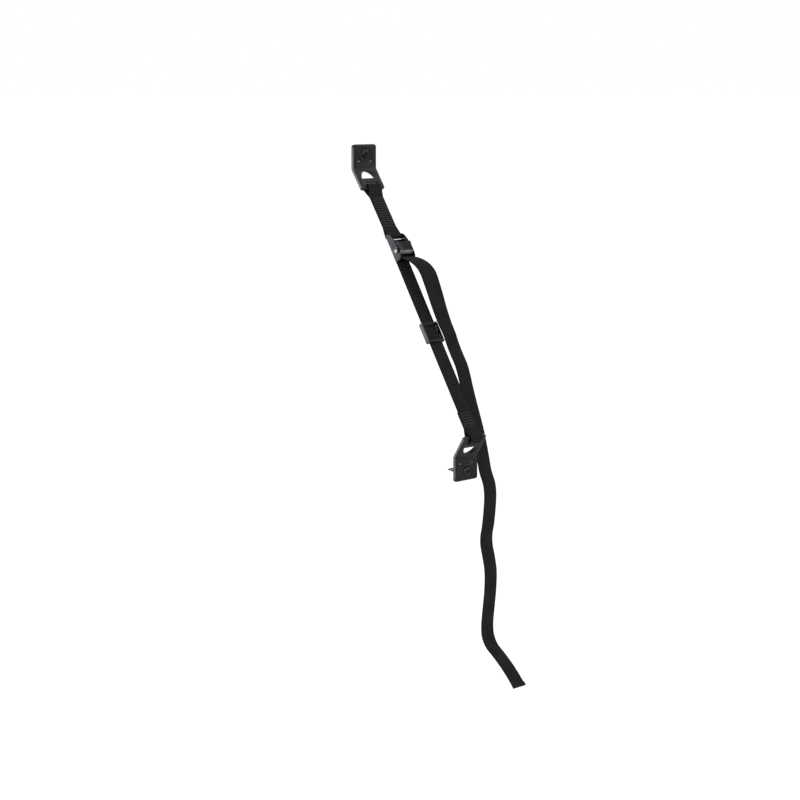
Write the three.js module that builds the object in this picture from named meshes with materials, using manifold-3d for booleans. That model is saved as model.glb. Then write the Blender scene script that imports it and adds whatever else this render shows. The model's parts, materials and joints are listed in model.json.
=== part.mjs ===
import * as THREE from 'three';
import { mergeVertices } from 'three/addons/utils/BufferGeometryUtils.js';
import Module from 'manifold-3d';

const wasm = await Module();
wasm.setup();

// Anti tip strap: two cranked brackets joined by a taut web with a cam buckle.
// Millimetres. X runs across the brackets, -Y points out from their backs and +Z is up.
// The origin is on the back of the upper bracket, midway between its two small holes.

// Where the two brackets sit, from the first one's origin
const lowerBracketOut = 159;
const lowerBracketDrop = 367;

// Fitting gaps
const seatGap = 0.3;
const turnGap = 0.4;

// Webbing
const webWidth = 25;
const webThick = 1.3;
const loopTaper = 13;
const sewnLength = 22;

// Bracket, cut from plate and cranked once
const plateWidth = 45;
const plateThick = 4.5;
const plateCorner = 5;
const plateEdge = 0.9;
const topMargin = 21.5;
const crankBelowHoles = 7.5;
const crankAngle = THREE.MathUtils.degToRad(30);
const crankInnerRadius = 4;
const endBar = 6;
const webSlotHeight = 4;
const webSlotSide = 2;
const middleBar = 5.6;
const windowHeight = 11.4;
const windowWidth = 30;
const windowFromCrank = 1.5;
const smallHole = 5.5;
const smallHoleSpacing = 24;
const mainHole = 6.6;
const mainHoleRise = 10;
const mainHoleSink = 13.4;
const mainHoleSinkDepth = 1.6;

// Screws: pan heads with a cross recess
const headWidth = 12;
const headHeight = 3.4;
const crossWidth = 1.5;
const crossSpan = 6.4;
const crossDepth = 1.9;
const machineShank = 6;
const machineLength = 16;
const woodShank = 5;
const woodLength = 28;
const woodPoint = 8;

// Cam buckle frame, pressed from sheet
const buckleStart = 66;
const sheet = 1.5;
const bodySide = 0.8;
const anchorBar = 4;
const anchorSlot = 3;
const dividerBar = 5.8;
const threadSlot = 3.6;
const bedLength = 20;
const cheekRise = 11.2;
const cheekEndRise = 8;
const cheekStartRise = 6.2;
const cheekNose = 2;

// Cam lever, its pin and its spring
const pinWidth = 3.6;
const pinHeadWidth = 6.4;
const pinHeadThick = 1.1;
const pinFromBedEnd = 11.8;
const camRadius = 3.6;
const camBack = 2.95;
const camSide = 0.4;
const toothCount = 5;
const toothHeight = 0.5;
const tabReach = 9.8;
const tabRise = 5.6;
const tabThick = 2;
const lipReach = 5.2;
const leverRoot = 6;
const leverBelly = 4.9;
const leverCrown = 5.4;
const tailFromPin = 4;
const camHollow = 9;
const springBayBack = 8;
const springBayBelow = 4;
const springBayAbove = 3.5;
const springWire = 0.8;
const springTurns = 4;
const springLeg = 4.5;
const springFootFromPin = 6.4;
const springFootIn = 2.8;
const springLegLean = 25;

// Web slide, a ladder of three bars between two rails
const slideAt = 199.7;
const slideLength = 27;
const slideRail = 2;
const slideBar = 4;
const slideBarThick = 2.2;
const slideBarRound = 0.9;
const slideRailRound = 1.8;
const slideSide = 0.8;

const plainFrame = new THREE.Matrix4();

// Solids and meshes

function solidOf(geometry) {
  const bare = geometry.index ? geometry : mergeVertices(geometry);
  const clean = bare.clone();
  clean.deleteAttribute('normal');
  clean.deleteAttribute('uv');
  const merged = mergeVertices(clean, 1e-4);
  return new wasm.Manifold(new wasm.Mesh({
    numProp: 3,
    vertProperties: new Float32Array(merged.attributes.position.array),
    triVerts: new Uint32Array(merged.index.array),
  }));
}

function geometryOf(solid) {
  const mesh = solid.getMesh();
  const geometry = new THREE.BufferGeometry();
  geometry.setAttribute('position', new THREE.BufferAttribute(mesh.vertProperties, 3));
  geometry.setIndex(new THREE.BufferAttribute(mesh.triVerts, 1));
  geometry.computeVertexNormals();
  return geometry;
}

function extruded(shape, from, to, frame = plainFrame, edge = 0) {
  const geometry = new THREE.ExtrudeGeometry(shape, {
    depth: to - from - 2 * edge,
    bevelEnabled: edge > 0,
    bevelThickness: edge,
    bevelSize: edge,
    bevelOffset: -edge,
    bevelSegments: 2,
    curveSegments: 10,
  });
  geometry.translate(0, 0, from + edge);
  geometry.applyMatrix4(frame);
  return solidOf(geometry);
}

function frameOf(xAxis, yAxis, origin = new THREE.Vector3()) {
  const zAxis = new THREE.Vector3().crossVectors(xAxis, yAxis);
  return new THREE.Matrix4().makeBasis(xAxis, yAxis, zAxis).setPosition(origin);
}

// Plain outlines

function polygon(points) {
  return new THREE.Shape(points.map(([x, y]) => new THREE.Vector2(x, y)));
}

function rectangle(x0, y0, x1, y1) {
  return polygon([[x0, y0], [x1, y0], [x1, y1], [x0, y1]]);
}

function disc(x, y, radius) {
  return new THREE.Shape().absarc(x, y, radius, 0, 2 * Math.PI, false);
}

function roundedBox(x0, y0, x1, y1, radius) {
  const shape = new THREE.Shape();
  shape.moveTo(x0 + radius, y0);
  shape.lineTo(x1 - radius, y0);
  shape.absarc(x1 - radius, y0 + radius, radius, -Math.PI / 2, 0, false);
  shape.lineTo(x1, y1 - radius);
  shape.absarc(x1 - radius, y1 - radius, radius, 0, Math.PI / 2, false);
  shape.lineTo(x0 + radius, y1);
  shape.absarc(x0 + radius, y1 - radius, radius, Math.PI / 2, Math.PI, false);
  shape.lineTo(x0, y0 + radius);
  shape.absarc(x0 + radius, y0 + radius, radius, Math.PI, 1.5 * Math.PI, false);
  return shape;
}

// Bracket geometry, measured down its leg from the end of the crank

const crankMid = crankInnerRadius + plateThick / 2;
const windowStart = windowFromCrank;
const windowEnd = windowStart + windowHeight;
const slotStart = windowEnd + middleBar;
const slotEnd = slotStart + webSlotHeight;
const legLength = slotEnd + endBar;

// A place on the middle of the plate, as [out, up]
function onLeg(along) {
  const out = plateThick / 2 + crankMid * (1 - Math.cos(crankAngle)) + along * Math.sin(crankAngle);
  const up = -crankBelowHoles - crankMid * Math.sin(crankAngle) - along * Math.cos(crankAngle);
  return [out, up];
}

const barPlace = onLeg(slotEnd + endBar / 2);

function bracketProfile() {
  const centre = [plateThick + crankInnerRadius, -crankBelowHoles];
  const outer = crankInnerRadius + plateThick;
  const half = plateThick / 2;
  const end = onLeg(legLength - half);
  const shape = new THREE.Shape();
  shape.moveTo(plateThick, topMargin - half);
  shape.absarc(half, topMargin - half, half, 0, Math.PI, false);
  shape.absarc(centre[0], centre[1], outer, Math.PI, Math.PI + crankAngle, false);
  shape.absarc(end[0], end[1], half, Math.PI + crankAngle, 2 * Math.PI + crankAngle, false);
  shape.absarc(centre[0], centre[1], crankInnerRadius, Math.PI + crankAngle, Math.PI, true);
  return shape;
}

function bracketGeometry() {
  const half = plateWidth / 2;
  const across = new THREE.Vector3(1, 0, 0);
  const up = new THREE.Vector3(0, 0, 1);
  const out = new THREE.Vector3(0, -1, 0);
  const upLeg = new THREE.Vector3(0, Math.sin(crankAngle), Math.cos(crankAngle));
  const [legOut, legUp] = onLeg(0);
  const flatFrame = frameOf(across, up);
  const legFrame = frameOf(across, upLeg, new THREE.Vector3(0, -legOut, legUp));
  const reach = 3 * plateThick;

  const flatOutline = roundedBox(-half, -crankBelowHoles - reach, half, topMargin, plateCorner);
  const legOutline = roundedBox(-half, -legLength, half, reach, plateCorner);
  const window = new THREE.Shape();
  const windowRadius = (windowWidth ** 2 / 4 + windowHeight ** 2) / (2 * windowHeight);
  const windowAngle = Math.asin(windowWidth / 2 / windowRadius);
  window.absarc(0, -windowStart - windowRadius, windowRadius, Math.PI / 2 - windowAngle,
    Math.PI / 2 + windowAngle, false);
  const slotHalf = webWidth / 2 + webSlotSide;
  const slot = roundedBox(-slotHalf, -slotEnd, slotHalf, -slotStart, 1.2);

  let body = extruded(bracketProfile(), -half, half, frameOf(out, up), plateEdge);
  const outline = extruded(flatOutline, -reach, reach, flatFrame)
    .add(extruded(legOutline, -reach, reach, legFrame));
  body = body.intersect(outline);
  for (const opening of [window, slot]) {
    body = body.subtract(extruded(opening, -plateThick, plateThick, legFrame));
  }
  for (const side of [-1, 1]) {
    const hole = disc(side * smallHoleSpacing / 2, 0, smallHole / 2);
    body = body.subtract(extruded(hole, -plateThick, 2 * plateThick, flatFrame));
  }
  const screwHole = disc(0, mainHoleRise, mainHole / 2);
  const sink = disc(0, mainHoleRise, mainHoleSink / 2);
  body = body.subtract(extruded(screwHole, -plateThick, 2 * plateThick, flatFrame));
  body = body.subtract(extruded(sink, plateThick - mainHoleSinkDepth, 2 * plateThick, flatFrame));
  return geometryOf(body);
}

// A pan head screw along -Y, with its head's underside at height zero
function screwGeometry(shank, length, point) {
  const headRadius = headWidth / 2;
  const profile = [
    [0, -length],
    [point > 0 ? 0.4 : shank / 2 - 0.5, -length],
    [shank / 2, -length + Math.max(point, 0.6)],
    [shank / 2, 0],
    [headRadius, 0],
    [headRadius, 0.35 * headHeight],
    [0.9 * headRadius, 0.7 * headHeight],
    [0.66 * headRadius, 0.92 * headHeight],
    [0.3 * headRadius, headHeight],
    [0, headHeight],
  ];
  const turned = new THREE.LatheGeometry(profile.map(([x, y]) => new THREE.Vector2(x, y)), 28);
  const facingOut = new THREE.Matrix4().makeRotationX(Math.PI);
  let body = solidOf(turned);
  const floor = headHeight - crossDepth;
  const flat = frameOf(new THREE.Vector3(1, 0, 0), new THREE.Vector3(0, 0, -1));
  for (const turn of [0, 1]) {
    const [a, b] = turn ? [crossWidth, crossSpan] : [crossSpan, crossWidth];
    const arm = rectangle(-a / 2, -b / 2, a / 2, b / 2);
    body = body.subtract(extruded(arm, floor, headHeight + 1, flat));
  }
  const geometry = geometryOf(body);
  geometry.applyMatrix4(facingOut);
  return geometry;
}

// The strap's own frame: s runs down the taut web from the upper bar, n points outward

const upperBar = new THREE.Vector2(barPlace[0], barPlace[1]);
const lowerBar = new THREE.Vector2(lowerBracketOut + barPlace[0], -lowerBracketDrop - barPlace[1]);
const barSpan = new THREE.Vector2().subVectors(lowerBar, upperBar);
const strapTilt = Math.atan2(barSpan.x, -barSpan.y);
const loopShift = webThick / 2;
const strapLength = Math.sqrt(barSpan.lengthSq() - loopShift ** 2);
const lineTilt = strapTilt + Math.asin(loopShift / barSpan.length());
const strapDown = new THREE.Vector3(0, -Math.sin(lineTilt), -Math.cos(lineTilt));
const strapOut = new THREE.Vector3(0, -Math.cos(lineTilt), Math.sin(lineTilt));
const strapStart = new THREE.Vector3(0, -upperBar.x, upperBar.y);
const strapFrame = frameOf(strapDown, strapOut, strapStart);

function alongStrap(shape, halfWidth, edge = 0) {
  return extruded(shape, -halfWidth, halfWidth, strapFrame, edge);
}

// A loop of webbing round a bar, closing to two plies towards a far point
function loopAround(bar, radius, towards, frame = strapFrame) {
  const heading = Math.atan2(towards[1] - bar[1], towards[0] - bar[0]);
  const outer = radius + webThick;
  const neck = loopTaper;
  const lean = Math.asin((outer - webThick) / neck);
  const innerLean = Math.asin(radius / neck);
  const place = (along, side) => [
    bar[0] + along * Math.cos(heading) - side * Math.sin(heading),
    bar[1] + along * Math.sin(heading) + side * Math.cos(heading),
  ];
  const skin = new THREE.Shape();
  skin.absarc(bar[0], bar[1], outer, heading + Math.PI / 2 - lean, heading - Math.PI / 2 + lean, false);
  skin.lineTo(...place(neck, -webThick));
  skin.lineTo(...place(neck + 1, -webThick));
  skin.lineTo(...place(neck + 1, webThick));
  skin.lineTo(...place(neck, webThick));
  const hollow = new THREE.Shape();
  hollow.absarc(bar[0], bar[1], radius, heading + Math.PI / 2 - innerLean,
    heading - Math.PI / 2 + innerLean, false);
  hollow.lineTo(...place(neck - 0.2, 0));
  const half = webWidth / 2;
  const ring = extruded(skin, -half, half, frame);
  return ring.subtract(extruded(hollow, -half - 1, half + 1, frame));
}

// Even thickness along a centre line
function plyOutline(line, thick) {
  const left = [];
  const right = [];
  line.forEach(([x, y], i) => {
    const before = line[Math.max(i - 1, 0)];
    const after = line[Math.min(i + 1, line.length - 1)];
    const length = Math.hypot(after[0] - before[0], after[1] - before[1]);
    const nx = -(after[1] - before[1]) / length * thick / 2;
    const ny = (after[0] - before[0]) / length * thick / 2;
    left.push([x + nx, y + ny]);
    right.unshift([x - nx, y - ny]);
  });
  return polygon([...left, ...right]);
}

// Places in the buckle, along the strap from its upper end

const bedBottom = webThick / 2 + seatGap;
const bedTop = bedBottom + sheet;
const anchorSlotStart = buckleStart + anchorBar;
const dividerStart = anchorSlotStart + anchorSlot;
const threadStart = dividerStart + dividerBar;
const bedStart = threadStart + threadSlot;
const bedEnd = bedStart + bedLength;
const turnRadius = sheet / 2 + seatGap + webThick / 2;
const upperPly = 2 * turnRadius;
const turnCentre = bedStart;
const camClear = upperPly + webThick / 2 + seatGap;
const pinAt = [bedEnd - pinFromBedEnd, camClear + camRadius];
const bodyHalf = webWidth / 2 + bodySide;
const leverHalf = bodyHalf - camSide;
const tailStart = pinAt[0] + tailFromPin;

const bracketLoop = Math.hypot(endBar, plateThick) / 2 + seatGap;
const anchorLoop = Math.hypot(anchorBar, sheet) / 2 + seatGap;
const anchorCentre = [buckleStart + anchorBar / 2, (bedBottom + bedTop) / 2];

function anchorStrapGeometry() {
  const upper = [0, 0];
  const heading = Math.atan2(anchorCentre[1], anchorCentre[0]);
  const span = Math.hypot(anchorCentre[0], anchorCentre[1]);
  const plies = [[loopTaper, 0], [span - loopTaper, 0]].map(([along]) => [
    along * Math.cos(heading),
    along * Math.sin(heading),
  ]);
  const body = loopAround(upper, bracketLoop, anchorCentre)
    .add(loopAround(anchorCentre, anchorLoop, upper))
    .add(alongStrap(plyOutline(plies, 2 * webThick), webWidth / 2));
  return geometryOf(body);
}

function mainStrapGeometry() {
  const lowerCentre = [strapLength, -loopShift];
  const steps = 8;
  const turn = Array.from({ length: steps + 1 }, (_, i) => {
    const angle = Math.PI / 2 + Math.PI * i / steps;
    return [turnCentre + turnRadius * Math.cos(angle), turnRadius + turnRadius * Math.sin(angle)];
  });
  const foldEnd = strapLength - loopTaper;
  const line = [[tailStart, upperPly], ...turn, [foldEnd - 0.5, 0], [foldEnd + 0.5, 0]];
  const backPly = plyOutline([[strapLength - sewnLength - loopTaper, -webThick],
    [foldEnd + 0.5, -webThick]], webThick + 0.02);
  const body = alongStrap(plyOutline(line, webThick), webWidth / 2)
    .add(alongStrap(backPly, webWidth / 2))
    .add(loopAround(lowerCentre, bracketLoop, [0, -loopShift]));
  return geometryOf(body);
}

function buckleFrameGeometry() {
  const outer = bodyHalf + sheet;
  const side = new THREE.Shape();
  const top = bedBottom + cheekRise;
  side.moveTo(buckleStart, bedBottom);
  side.lineTo(bedEnd, bedBottom);
  side.lineTo(bedEnd, bedBottom + cheekEndRise);
  side.quadraticCurveTo(bedEnd - cheekNose, top, pinAt[0] + cheekNose, top);
  side.lineTo(pinAt[0] - cheekNose, top);
  side.quadraticCurveTo(dividerStart, top - cheekNose, buckleStart + cheekNose, bedBottom + cheekStartRise);
  side.lineTo(buckleStart, bedBottom + cheekStartRise - cheekNose);
  const channelTop = rectangle(buckleStart - 1, bedTop, bedEnd + 1, top + 1);
  const openings = [
    [anchorSlotStart, dividerStart],
    [threadStart, bedStart],
  ];
  let body = alongStrap(side, outer).subtract(alongStrap(channelTop, bodyHalf));
  for (const [from, to] of openings) {
    body = body.subtract(alongStrap(rectangle(from, bedBottom - 1, to, top), bodyHalf));
  }
  const pinHole = disc(...pinAt, pinWidth / 2 + seatGap);
  body = body.subtract(alongStrap(pinHole, outer + 1));
  return geometryOf(body);
}

function pinGeometry() {
  const outer = bodyHalf + sheet + seatGap;
  let body = alongStrap(disc(...pinAt, pinWidth / 2), outer + 0.2);
  for (const side of [-1, 1]) {
    const inner = side * outer;
    const end = side * (outer + pinHeadThick);
    const head = extruded(disc(...pinAt, pinHeadWidth / 2), Math.min(inner, end),
      Math.max(inner, end), strapFrame, 0.4);
    body = body.add(head);
  }
  return geometryOf(body);
}

// Cam body with a toothed nose, a thumb tab above it and a pressing lip below
function leverGeometry() {
  const [ps, pn] = pinAt;
  const nose = [];
  const from = -0.92 * Math.PI;
  const to = -0.2 * Math.PI;
  const steps = toothCount * 2;
  for (let i = 0; i <= steps; i += 1) {
    const angle = from + (to - from) * i / steps;
    const swell = Math.min(1, i / (steps / 2));
    const radius = camBack + (camRadius - camBack) * swell - (i % 2 ? 0 : toothHeight);
    nose.push([ps + radius * Math.cos(angle), pn + radius * Math.sin(angle)]);
  }
  const outline = [
    ...nose,
    [ps + lipReach, pn + 0.6],
    [ps + lipReach + 0.5, pn + 2],
    [ps + lipReach - 0.6, pn + 3.4],
    [ps + 1.6, pn + leverBelly],
    [ps - 3, pn + leverCrown],
    [ps - tabReach + 3, pn + tabRise + 0.2],
    [ps - tabReach, pn + tabRise + 0.9],
    [ps - tabReach - 0.8, pn + tabRise - 0.6],
    [ps - tabReach, pn + tabRise - tabThick],
    [ps - leverRoot, pn + leverBelly - tabThick],
  ];
  let body = alongStrap(polygon(outline), leverHalf, 0.5);
  body = body.subtract(alongStrap(disc(ps, pn, pinWidth / 2 + seatGap), leverHalf + 1));
  const hollow = disc(ps, pn, pinWidth / 2 + seatGap + springWire + 2 * turnGap);
  const bay = rectangle(ps - springBayBack, pn - springBayBelow, ps, pn + springBayAbove);
  const springBay = alongStrap(hollow, camHollow / 2).add(alongStrap(bay, camHollow / 2));
  return geometryOf(body.subtract(springBay));
}

// Torsion spring coiled round the pin, one leg on the lever and one on the divider bar
function springGeometry() {
  const radius = pinWidth / 2 + turnGap + springWire / 2;
  const pitch = springWire + 0.35;
  const half = springTurns * pitch / 2;
  const [ps, pn] = pinAt;
  const perTurn = 12;
  const count = (springTurns + 0.5) * perTurn;
  const points = [
    [threadStart - springFootIn, bedTop + springWire / 2 + seatGap, -half],
    [ps - springFootFromPin, pn - radius, -half],
    [ps - 2, pn - radius, -half],
  ];
  for (let i = 0; i <= count; i += 1) {
    const angle = -Math.PI / 2 + 2 * Math.PI * i / perTurn;
    points.push([ps + radius * Math.cos(angle), pn + radius * Math.sin(angle), pitch * i / perTurn - half]);
  }
  const legHeight = pitch * count / perTurn - half;
  const lean = THREE.MathUtils.degToRad(springLegLean);
  const leave = [ps - radius * Math.sin(lean), pn + radius * Math.cos(lean)];
  points.push([...leave, legHeight]);
  points.push([leave[0] - springLeg * Math.cos(lean), leave[1] - springLeg * Math.sin(lean), legHeight]);
  const places = points.map(([s, n, x]) => new THREE.Vector3(s, n, x));
  const wire = new THREE.CatmullRomCurve3(places, false, 'centripetal');
  const section = new THREE.Shape().absarc(0, 0, springWire / 2, 0, 2 * Math.PI, false);
  const geometry = new THREE.ExtrudeGeometry(section, {
    steps: count + 10,
    curveSegments: 3,
    extrudePath: wire,
  });
  geometry.applyMatrix4(strapFrame);
  return geometryOf(solidOf(geometry));
}

// Ladder slide: outer bars pass over the web, the middle bar under it
function slideGeometry() {
  const half = webWidth / 2 + slideSide;
  const outer = half + slideRail;
  const face = webThick / 2 + seatGap;
  const from = slideAt - slideLength / 2;
  const to = slideAt + slideLength / 2;
  const middle = rectangle(slideAt - slideBar / 2, -face - slideBarThick, slideAt + slideBar / 2, -face);
  const rail = roundedBox(from, -face - slideBarThick, to, face + slideBarThick, slideRailRound);
  let body = alongStrap(rail, outer, 0.8).subtract(
    alongStrap(rectangle(from - 1, -2 * slideLength, to + 1, 2 * slideLength), half));
  const bars = [from, to - slideBar].map((start) => (
    roundedBox(start, face, start + slideBar, face + slideBarThick, slideBarRound)));
  for (const bar of [...bars, middle]) {
    body = body.add(alongStrap(bar, half + 0.6));
  }
  return geometryOf(body);
}

// Free tail: [along X, out, up, turn about the upright in degrees], by eye
const tailRoute = [
  [0, 63.4, -115.1, 0],
  [0, 64.4, -116.3, 0],
  [0, 66.8, -117, 1],
  [0, 70.6, -117.3, 3],
  [0.3, 75.9, -117.9, 7],
  [1.5, 81.4, -119.7, 11],
  [3.5, 86.6, -122.7, 14],
  [6, 91.5, -127.3, 15],
  [8.5, 95.8, -134.1, 15],
  [11, 98.4, -142.9, 14],
  [15.5, 102.4, -161.1, 11],
  [20, 106.4, -180.6, 7],
  [24.5, 111.4, -199.4, 3],
  [27, 114.2, -208.1, 1.5],
  [28.8, 115.8, -214, 0.5],
  [29, 118.3, -220.6, 0],
  [29.5, 125.8, -237, 0],
  [30.5, 131.9, -249.6, 0],
  [31.8, 135.5, -262.4, 0],
  [33.2, 138.8, -277.7, 0],
  [34.6, 143.5, -296.3, 0],
  [35.4, 149, -314.5, 0],
  [35.8, 154.5, -333, 0],
  [36, 158.5, -349.5, 0],
  [36, 162, -364.5, 0],
  [36, 165.8, -381, 0],
  [36, 171.5, -396, 0],
  [36, 173.3, -409, 0],
  [36, 172.1, -431, 0],
  [36, 170, -448.5, 0],
  [36, 167.7, -461, 0],
  [36, 167.9, -473, 0],
  [36, 171.5, -489, 0],
  [36, 174.3, -505, 0],
  [36, 173.9, -529, 0],
  [36, 171.5, -552, 0],
  [36, 169.5, -573, 0],
  [36, 170.5, -587, 0],
  [36, 176, -599, 0],
  [36, 187.5, -610, 0],
  [36, 199.5, -622, 0],
  [36, 213, -638, 0],
  [36, 219, -646.5, 0],
];

const upright = new THREE.Vector3(0, 0, 1);

function tailGeometry() {
  const points = tailRoute.map(([x, out, up]) => new THREE.Vector3(x, -out, up));
  const curve = new THREE.CatmullRomCurve3(points, false, 'centripetal');
  const spans = tailRoute.length - 1;
  const perSpan = 2;
  const steps = spans * perSpan;
  const corners = [];
  const half = webWidth / 2;
  for (let i = 0; i <= steps; i += 1) {
    const centre = curve.getPoint(i / steps);
    const along = curve.getTangent(i / steps);
    const before = Math.min(Math.floor(i / perSpan), spans - 1);
    const share = i / perSpan - before;
    const turn = tailRoute[before][3] * (1 - share) + tailRoute[before + 1][3] * share;
    const across = new THREE.Vector3(1, 0, 0).applyAxisAngle(upright, -THREE.MathUtils.degToRad(turn));
    const face = new THREE.Vector3().crossVectors(across, along).normalize();
    for (const [side, depth] of [[-1, -1], [1, -1], [1, 1], [-1, 1]]) {
      corners.push(centre.clone().addScaledVector(across, side * half)
        .addScaledVector(face, depth * webThick / 2));
    }
  }
  const faces = [];
  for (let i = 0; i < steps; i += 1) {
    for (let k = 0; k < 4; k += 1) {
      const a = 4 * i + k;
      const b = 4 * i + (k + 1) % 4;
      faces.push(a, b + 4, b, a, a + 4, b + 4);
    }
  }
  const last = 4 * steps;
  faces.push(0, 1, 2, 0, 2, 3, last, last + 2, last + 1, last, last + 3, last + 2);
  const geometry = new THREE.BufferGeometry().setFromPoints(corners);
  geometry.setIndex(faces);
  geometry.computeVertexNormals();
  return geometry;
}

// Finishes

function finish(color, roughness, metalness) {
  return new THREE.MeshStandardMaterial({ color, roughness, metalness });
}

const blackCoat = finish(0x17181a, 0.42, 0.3);
const blackSteel = finish(0x1b1c1f, 0.35, 0.7);
const blackWeb = finish(0x131316, 0.85, 0);
const blackPlastic = finish(0x1d1e21, 0.4, 0);
const springSteel = finish(0x8b8d90, 0.35, 0.9);

function mesh(name, geometry, material) {
  const piece = new THREE.Mesh(geometry, material);
  piece.name = name;
  return piece;
}

function fittedScrew(name, shank, length, point) {
  const piece = mesh(name, screwGeometry(shank, length, point), blackSteel);
  piece.position.set(0, -(plateThick - mainHoleSinkDepth + seatGap), mainHoleRise);
  return piece;
}

const upperEnd = new THREE.Group();
upperEnd.add(mesh('upper_bracket', bracketGeometry(), blackCoat));
upperEnd.add(fittedScrew('upper_screw', machineShank, machineLength, 0));

const lowerEnd = new THREE.Group();
lowerEnd.add(mesh('lower_bracket', bracketGeometry(), blackCoat));
lowerEnd.add(fittedScrew('lower_screw', woodShank, woodLength, woodPoint));
lowerEnd.rotation.y = Math.PI;
lowerEnd.position.set(0, -lowerBracketOut, -lowerBracketDrop);

const strap = new THREE.Group();
strap.add(mesh('anchor_strap', anchorStrapGeometry(), blackWeb));
strap.add(mesh('buckle_frame', buckleFrameGeometry(), blackSteel));
strap.add(mesh('cam_pin', pinGeometry(), blackSteel));
strap.add(mesh('cam_lever', leverGeometry(), blackSteel));
strap.add(mesh('cam_spring', springGeometry(), springSteel));
strap.add(mesh('main_strap', mainStrapGeometry(), blackWeb));
strap.add(mesh('web_slide', slideGeometry(), blackPlastic));
strap.add(mesh('tail_strap', tailGeometry(), blackWeb));

const part = new THREE.Group();
part.add(upperEnd, lowerEnd, strap);

export default part;
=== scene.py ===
import json
import math

import bpy
from bpy.props import FloatProperty, FloatVectorProperty, IntProperty, PointerProperty
from mathutils import Matrix, Vector

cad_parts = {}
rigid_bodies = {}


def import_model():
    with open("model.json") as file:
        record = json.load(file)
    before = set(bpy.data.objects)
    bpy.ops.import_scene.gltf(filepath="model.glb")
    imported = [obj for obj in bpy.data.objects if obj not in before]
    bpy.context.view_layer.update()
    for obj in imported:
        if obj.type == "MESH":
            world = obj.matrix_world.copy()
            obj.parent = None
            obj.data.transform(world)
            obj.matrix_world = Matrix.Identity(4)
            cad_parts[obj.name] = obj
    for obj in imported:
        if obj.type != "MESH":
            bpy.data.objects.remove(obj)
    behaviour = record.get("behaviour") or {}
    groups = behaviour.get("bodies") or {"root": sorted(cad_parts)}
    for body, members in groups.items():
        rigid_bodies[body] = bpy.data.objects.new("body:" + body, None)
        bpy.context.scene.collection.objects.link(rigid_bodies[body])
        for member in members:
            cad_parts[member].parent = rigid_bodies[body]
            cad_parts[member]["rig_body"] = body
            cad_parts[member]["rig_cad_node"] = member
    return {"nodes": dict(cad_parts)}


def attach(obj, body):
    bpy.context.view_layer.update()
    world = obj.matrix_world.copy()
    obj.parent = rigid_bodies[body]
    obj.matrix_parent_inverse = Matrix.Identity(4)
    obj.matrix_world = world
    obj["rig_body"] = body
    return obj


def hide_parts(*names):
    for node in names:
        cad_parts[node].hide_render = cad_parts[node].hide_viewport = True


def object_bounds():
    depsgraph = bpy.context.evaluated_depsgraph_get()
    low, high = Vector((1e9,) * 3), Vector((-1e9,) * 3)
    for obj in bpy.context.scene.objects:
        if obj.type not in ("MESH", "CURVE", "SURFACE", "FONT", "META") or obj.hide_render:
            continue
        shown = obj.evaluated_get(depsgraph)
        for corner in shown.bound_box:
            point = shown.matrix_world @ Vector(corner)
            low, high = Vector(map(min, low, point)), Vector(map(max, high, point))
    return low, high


bl_info = {
    "name": "Furniture anti tip strap",
    "version": (1, 0, 0),
    "blender": (4, 5, 0),
    "location": "View3D > Sidebar > Tip strap",
    "description": "Webbing, coated brackets, cam buckle and slide of a furniture anti tip strap",
    "category": "Object",
}

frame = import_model()
CAD_LOW, CAD_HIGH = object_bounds()
MM = 0.001

# The taut web's own line: s runs down it from the upper end bar, n points out from it
WEB_START = Vector((0, -0.0158373, -0.0327086))
WEB_DOWN = Vector((0, -0.468057, -0.883698))
WEB_OUT = Vector((0, -0.883698, 0.468057))
WEB_LENGTH = 340.93
PLY = 1.3
SEWN_LENGTH = 22
LOOP_TAPER = 13
BAR_LOOP = 4.70
BUCKLE_LOOP = 3.086
BUCKLE_BAR = (68, 1.7)
TURN_AT = 82.4
TURN_RADIUS = 1.7
TAIL_AT = 94.6
PIN_AT = 90.6

# Free tail: along X, out, up, in millimetres, and its turn about the upright in degrees
TAIL_ROUTE = [
    (0, 63.4, -115.1, 0), (0, 64.4, -116.3, 0), (0, 66.8, -117, 1), (0, 70.6, -117.3, 3),
    (0.3, 75.9, -117.9, 7), (1.5, 81.4, -119.7, 11), (3.5, 86.6, -122.7, 14), (6, 91.5, -127.3, 15),
    (8.5, 95.8, -134.1, 15), (11, 98.4, -142.9, 14), (15.5, 102.4, -161.1, 11),
    (20, 106.4, -180.6, 7), (24.5, 111.4, -199.4, 3), (27, 114.2, -208.1, 1.5),
    (28.8, 115.8, -214, 0.5), (29, 118.3, -220.6, 0), (29.5, 125.8, -237, 0),
    (30.5, 131.9, -249.6, 0), (31.8, 135.5, -262.4, 0), (33.2, 138.8, -277.7, 0),
    (34.6, 143.5, -296.3, 0), (35.4, 149, -314.5, 0), (35.8, 154.5, -333, 0),
    (36, 158.5, -349.5, 0), (36, 162, -364.5, 0), (36, 165.8, -381, 0), (36, 171.5, -396, 0),
    (36, 173.3, -409, 0), (36, 172.1, -431, 0), (36, 170, -448.5, 0), (36, 167.7, -461, 0),
    (36, 167.9, -473, 0), (36, 171.5, -489, 0), (36, 174.3, -505, 0), (36, 173.9, -529, 0),
    (36, 171.5, -552, 0), (36, 169.5, -573, 0), (36, 170.5, -587, 0), (36, 176, -599, 0),
    (36, 187.5, -610, 0), (36, 199.5, -622, 0), (36, 213, -638, 0), (36, 219, -646.5, 0),
]

# The buckle's cheeks, across from the middle: past their inner faces, and either side of their hollow, whose
# recessed faces get a painted shade
CHEEK_INNER = 14
HOLLOW_FROM, HOLLOW_TO = 14.3, 14.7

# Where the camera stands, in metres, and the way it looks
CAMERA_AT = (-2.6298, -2.0993, 0.0948)
CAMERA_LOOK = (0.7848, 0.6087, -0.1167)

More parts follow.
